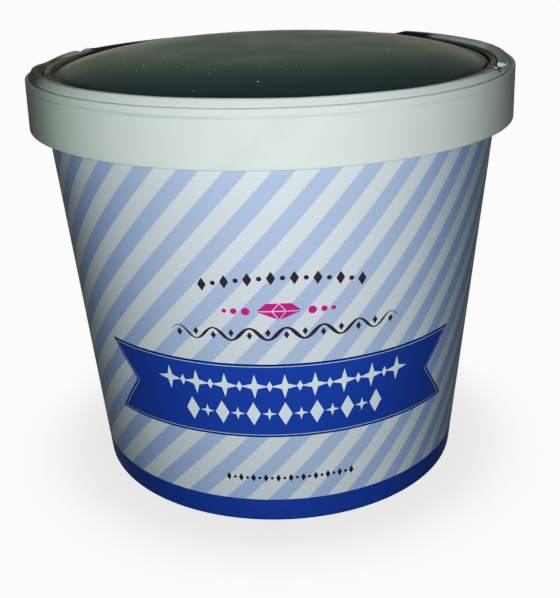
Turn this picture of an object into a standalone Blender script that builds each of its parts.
"""A shut candy tub: a tapered paperboard tub with a disc set up into its foot, and a lid made of a
paperboard ring round a low domed plastic window.

Units are metres and +Z is up. The origin is the centre of the foot, on the table, and the printed
front faces -Y. Every piece is a profile of (radius, height) points turned about Z.
"""

import math

import bpy

# Driving dimensions

SEGMENTS = 72                   # sides of every turned piece
GAP = 0.0003                    # free space between two pieces that touch

FOOT_RADIUS = 0.0380            # outside of the wall at the table
NECK_RADIUS = 0.0440            # outside of the wall at the lid's lower edge
FOOT_THICKNESS = 0.0018         # the wall folded in round the disc
FOOT_ROUNDING = 0.0006
RECESS_DEPTH = 0.0060           # how far up into the foot the disc sits

LIP_RADIUS = 0.0012             # the rolled lip under the lid
LIP_CENTRE_RADIUS = 0.0449
LIP_CENTRE_HEIGHT = 0.0782

DISC_THICKNESS = 0.0006

SKIRT_RADIUS = 0.0475           # outside of the lid at its lower edge
SKIRT_BOTTOM = 0.0714
SKIRT_THICKNESS = 0.0010
SKIRT_EDGE_CHAMFER = 0.0002
SHOULDER_RADIUS = 0.0472        # outside of the lid where its shoulder starts
SHOULDER_HEIGHT = 0.0798
SHOULDER_ROUNDING = 0.0013
CREASE_RADIUS = 0.0458          # the pressed line between the shoulder and the bead
CREASE_HEIGHT = 0.0809
BEAD_OUTER_WIDTH = 0.00085      # from the bead's crown out to its foot
BEAD_INNER_WIDTH = 0.00175      # from the crown in to the step round the window
BEAD_CROWN_RADIUS = 0.0451
BEAD_CROWN_HEIGHT = 0.0822
BEAD_FOOT_HEIGHT = 0.0810

WINDOW_FLOOR = 0.0805           # the flat ring between the bead and the dome
DOME_RADIUS = 0.0413
DOME_EDGE_HEIGHT = 0.0814
DOME_RISE = 0.00305
DOME_FLATNESS = 4.0             # 2 is a parabola, and more makes the middle flatter
DOME_RINGS = 9

# Sizes that follow from them

LID_UNDERSIDE = SHOULDER_HEIGHT
LIP_TOP = LIP_CENTRE_HEIGHT + LIP_RADIUS
RECESS_RADIUS = FOOT_RADIUS - FOOT_THICKNESS
SEAT_RADIUS = BEAD_CROWN_RADIUS - BEAD_INNER_WIDTH

# Finishes, each a colour, a roughness and a metallic value

FINISHES = {
    "printed_board": ((0.62, 0.68, 0.82, 1.0), 0.45, 0.0),
    "plain_board": ((0.80, 0.78, 0.72, 1.0), 0.80, 0.0),
    "lid_board": ((0.80, 0.86, 0.82, 1.0), 0.55, 0.0),
    "window_plastic": ((0.03, 0.05, 0.05, 1.0), 0.25, 0.0),
}


def clear_scene():
    """Removes every object, so that the part starts from an empty scene."""
    for item in list(bpy.data.objects):
        bpy.data.objects.remove(item, do_unlink=True)


def make_material(name):
    """A material with a Principled BSDF that holds the finish's colour, roughness and metallic."""
    colour, roughness, metallic = FINISHES[name]
    material = bpy.data.materials.new(name)
    material.use_nodes = True
    shader = material.node_tree.nodes["Principled BSDF"]
    shader.inputs["Base Color"].default_value = colour
    shader.inputs["Roughness"].default_value = roughness
    shader.inputs["Metallic"].default_value = metallic
    material.diffuse_color = colour
    return material


def arc(centre_radius, centre_height, half_width, half_height, start, end, steps):
    """Points round an ellipse in the profile plane, from one angle to another in degrees."""
    points = []
    for step in range(steps + 1):
        angle = math.radians(start + (end - start) * step / steps)
        radius = centre_radius + half_width * math.cos(angle)
        height = centre_height + half_height * math.sin(angle)
        points.append((radius, height))
    return points


def turned_piece(name, profile, finish, closed):
    """Turns a profile about Z. The profile runs down its outer side, and closed joins its ends."""
    points = [(radius, 0.0, height) for radius, height in profile]
    edges = [(index, index + 1) for index in range(len(points) - 1)]
    if closed:
        edges.append((len(points) - 1, 0))
    mesh = bpy.data.meshes.new(name)
    mesh.from_pydata(points, edges, [])
    mesh.materials.append(make_material(finish))
    piece = bpy.data.objects.new(name, mesh)
    bpy.context.scene.collection.objects.link(piece)

    turn = piece.modifiers.new("turn", "SCREW")
    turn.axis = "Z"
    turn.angle = math.tau
    turn.steps = SEGMENTS
    turn.render_steps = SEGMENTS
    turn.use_merge_vertices = True
    turn.merge_threshold = 0.00001
    turn.use_smooth_shade = True
    return piece


def tub_profile():
    """The tub as one solid: a flat top inside the rolled lip, the tapered wall, the rounded foot
    and the recess below."""
    lip = arc(LIP_CENTRE_RADIUS, LIP_CENTRE_HEIGHT, LIP_RADIUS, LIP_RADIUS, 90, -110, 8)
    foot_centre = FOOT_RADIUS - FOOT_ROUNDING
    foot = arc(foot_centre, FOOT_ROUNDING, FOOT_ROUNDING, FOOT_ROUNDING, 0, -90, 3)
    neck = [(NECK_RADIUS, SKIRT_BOTTOM)]
    recess = [(RECESS_RADIUS, 0.0), (RECESS_RADIUS, RECESS_DEPTH), (0.0, RECESS_DEPTH)]
    return [(0.0, LIP_TOP)] + lip + neck + foot + recess


def base_disc_profile():
    """A flat disc just below the recess's ceiling and just inside its wall."""
    radius = RECESS_RADIUS - GAP
    top = RECESS_DEPTH - GAP
    bottom = top - DISC_THICKNESS
    return [(0.0, top), (radius, top), (radius, bottom), (0.0, bottom)]


def lid_ring_profile():
    """The ring's closed outline, from the bead's crown down the outside, under the skirt's edge
    and back up the inside."""
    bead_height = BEAD_CROWN_HEIGHT - BEAD_FOOT_HEIGHT
    outer_bead = arc(
        BEAD_CROWN_RADIUS, BEAD_FOOT_HEIGHT, BEAD_OUTER_WIDTH, bead_height, 90, 0, 4
    )
    crease = [(CREASE_RADIUS, CREASE_HEIGHT)]
    shoulder_centre = SHOULDER_RADIUS - SHOULDER_ROUNDING
    shoulder = arc(
        shoulder_centre, SHOULDER_HEIGHT, SHOULDER_ROUNDING, SHOULDER_ROUNDING, 80, 0, 4
    )
    inner_radius = SKIRT_RADIUS - SKIRT_THICKNESS
    edge = [
        (SKIRT_RADIUS, SKIRT_BOTTOM + SKIRT_EDGE_CHAMFER),
        (SKIRT_RADIUS - SKIRT_EDGE_CHAMFER, SKIRT_BOTTOM),
        (inner_radius, SKIRT_BOTTOM),
    ]
    inside = [(inner_radius, LID_UNDERSIDE), (SEAT_RADIUS, LID_UNDERSIDE)]
    inner_bead = arc(
        BEAD_CROWN_RADIUS, BEAD_FOOT_HEIGHT, BEAD_INNER_WIDTH, bead_height, 180, 105, 5
    )
    return outer_bead + crease + shoulder + edge + inside + inner_bead


def window_profile():
    """A shallow dome on a flat ring, solid down to a flat underside. The dome's height falls off
    with the radius to the power of its flatness."""
    dome = []
    for ring in range(DOME_RINGS):
        share = math.sin(0.5 * math.pi * ring / (DOME_RINGS - 1))
        rise = DOME_RISE * (1.0 - share ** DOME_FLATNESS)
        dome.append((DOME_RADIUS * share, DOME_EDGE_HEIGHT + rise))
    side = arc(DOME_RADIUS, WINDOW_FLOOR, GAP, DOME_EDGE_HEIGHT - WINDOW_FLOOR, 45, 0, 2)
    rim = SEAT_RADIUS - GAP
    return dome + side + [(rim, WINDOW_FLOOR), (rim, LID_UNDERSIDE), (0.0, LID_UNDERSIDE)]


def build():
    """Makes the four pieces of the tub."""
    clear_scene()
    turned_piece("tub", tub_profile(), "printed_board", closed=False)
    turned_piece("base_disc", base_disc_profile(), "plain_board", closed=False)
    turned_piece("lid_ring", lid_ring_profile(), "lid_board", closed=True)
    turned_piece("lid_window", window_profile(), "window_plastic", closed=False)


build()
